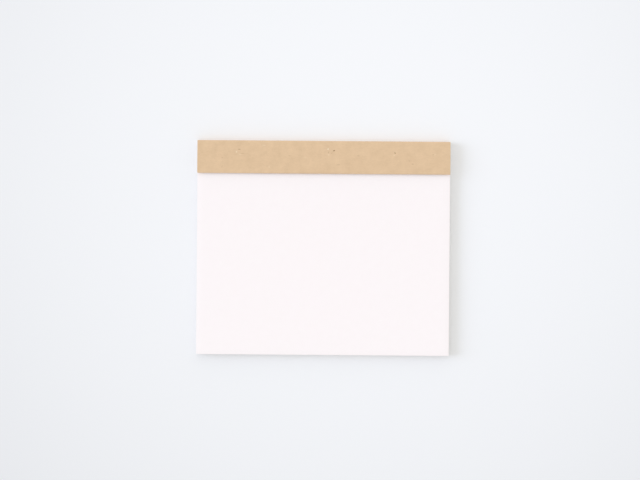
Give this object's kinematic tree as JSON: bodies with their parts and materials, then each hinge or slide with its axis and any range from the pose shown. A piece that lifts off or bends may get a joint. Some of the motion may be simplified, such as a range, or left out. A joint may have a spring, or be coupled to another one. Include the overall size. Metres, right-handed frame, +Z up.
{
  "type": "drawing pad",
  "caption": "Small landscape drawing pad: white sheets on a pale pulp board, glued along the head under a folded strip of brown kraft card that arches clear of the top sheet.",
  "frame": {"origin": "on the surface that the pad lies on, under the middle of its outline", "axes": "+X to the right along the bound edge, +Y towards the bound edge (the head), +Z up, out of the top sheet"},
  "size_m": [0.15, 0.127, 0.0064],
  "materials": {
    "drawing_paper": "matte",
    "pulp_board": "matte",
    "dried_glue": "satin",
    "kraft_card": "matte"
  },
  "bodies": {
    "root": {"page_block": "drawing_paper", "backing_board": "pulp_board", "padding_glue": "dried_glue", "head_strip": "kraft_card"}
  },
  "joints": []
}
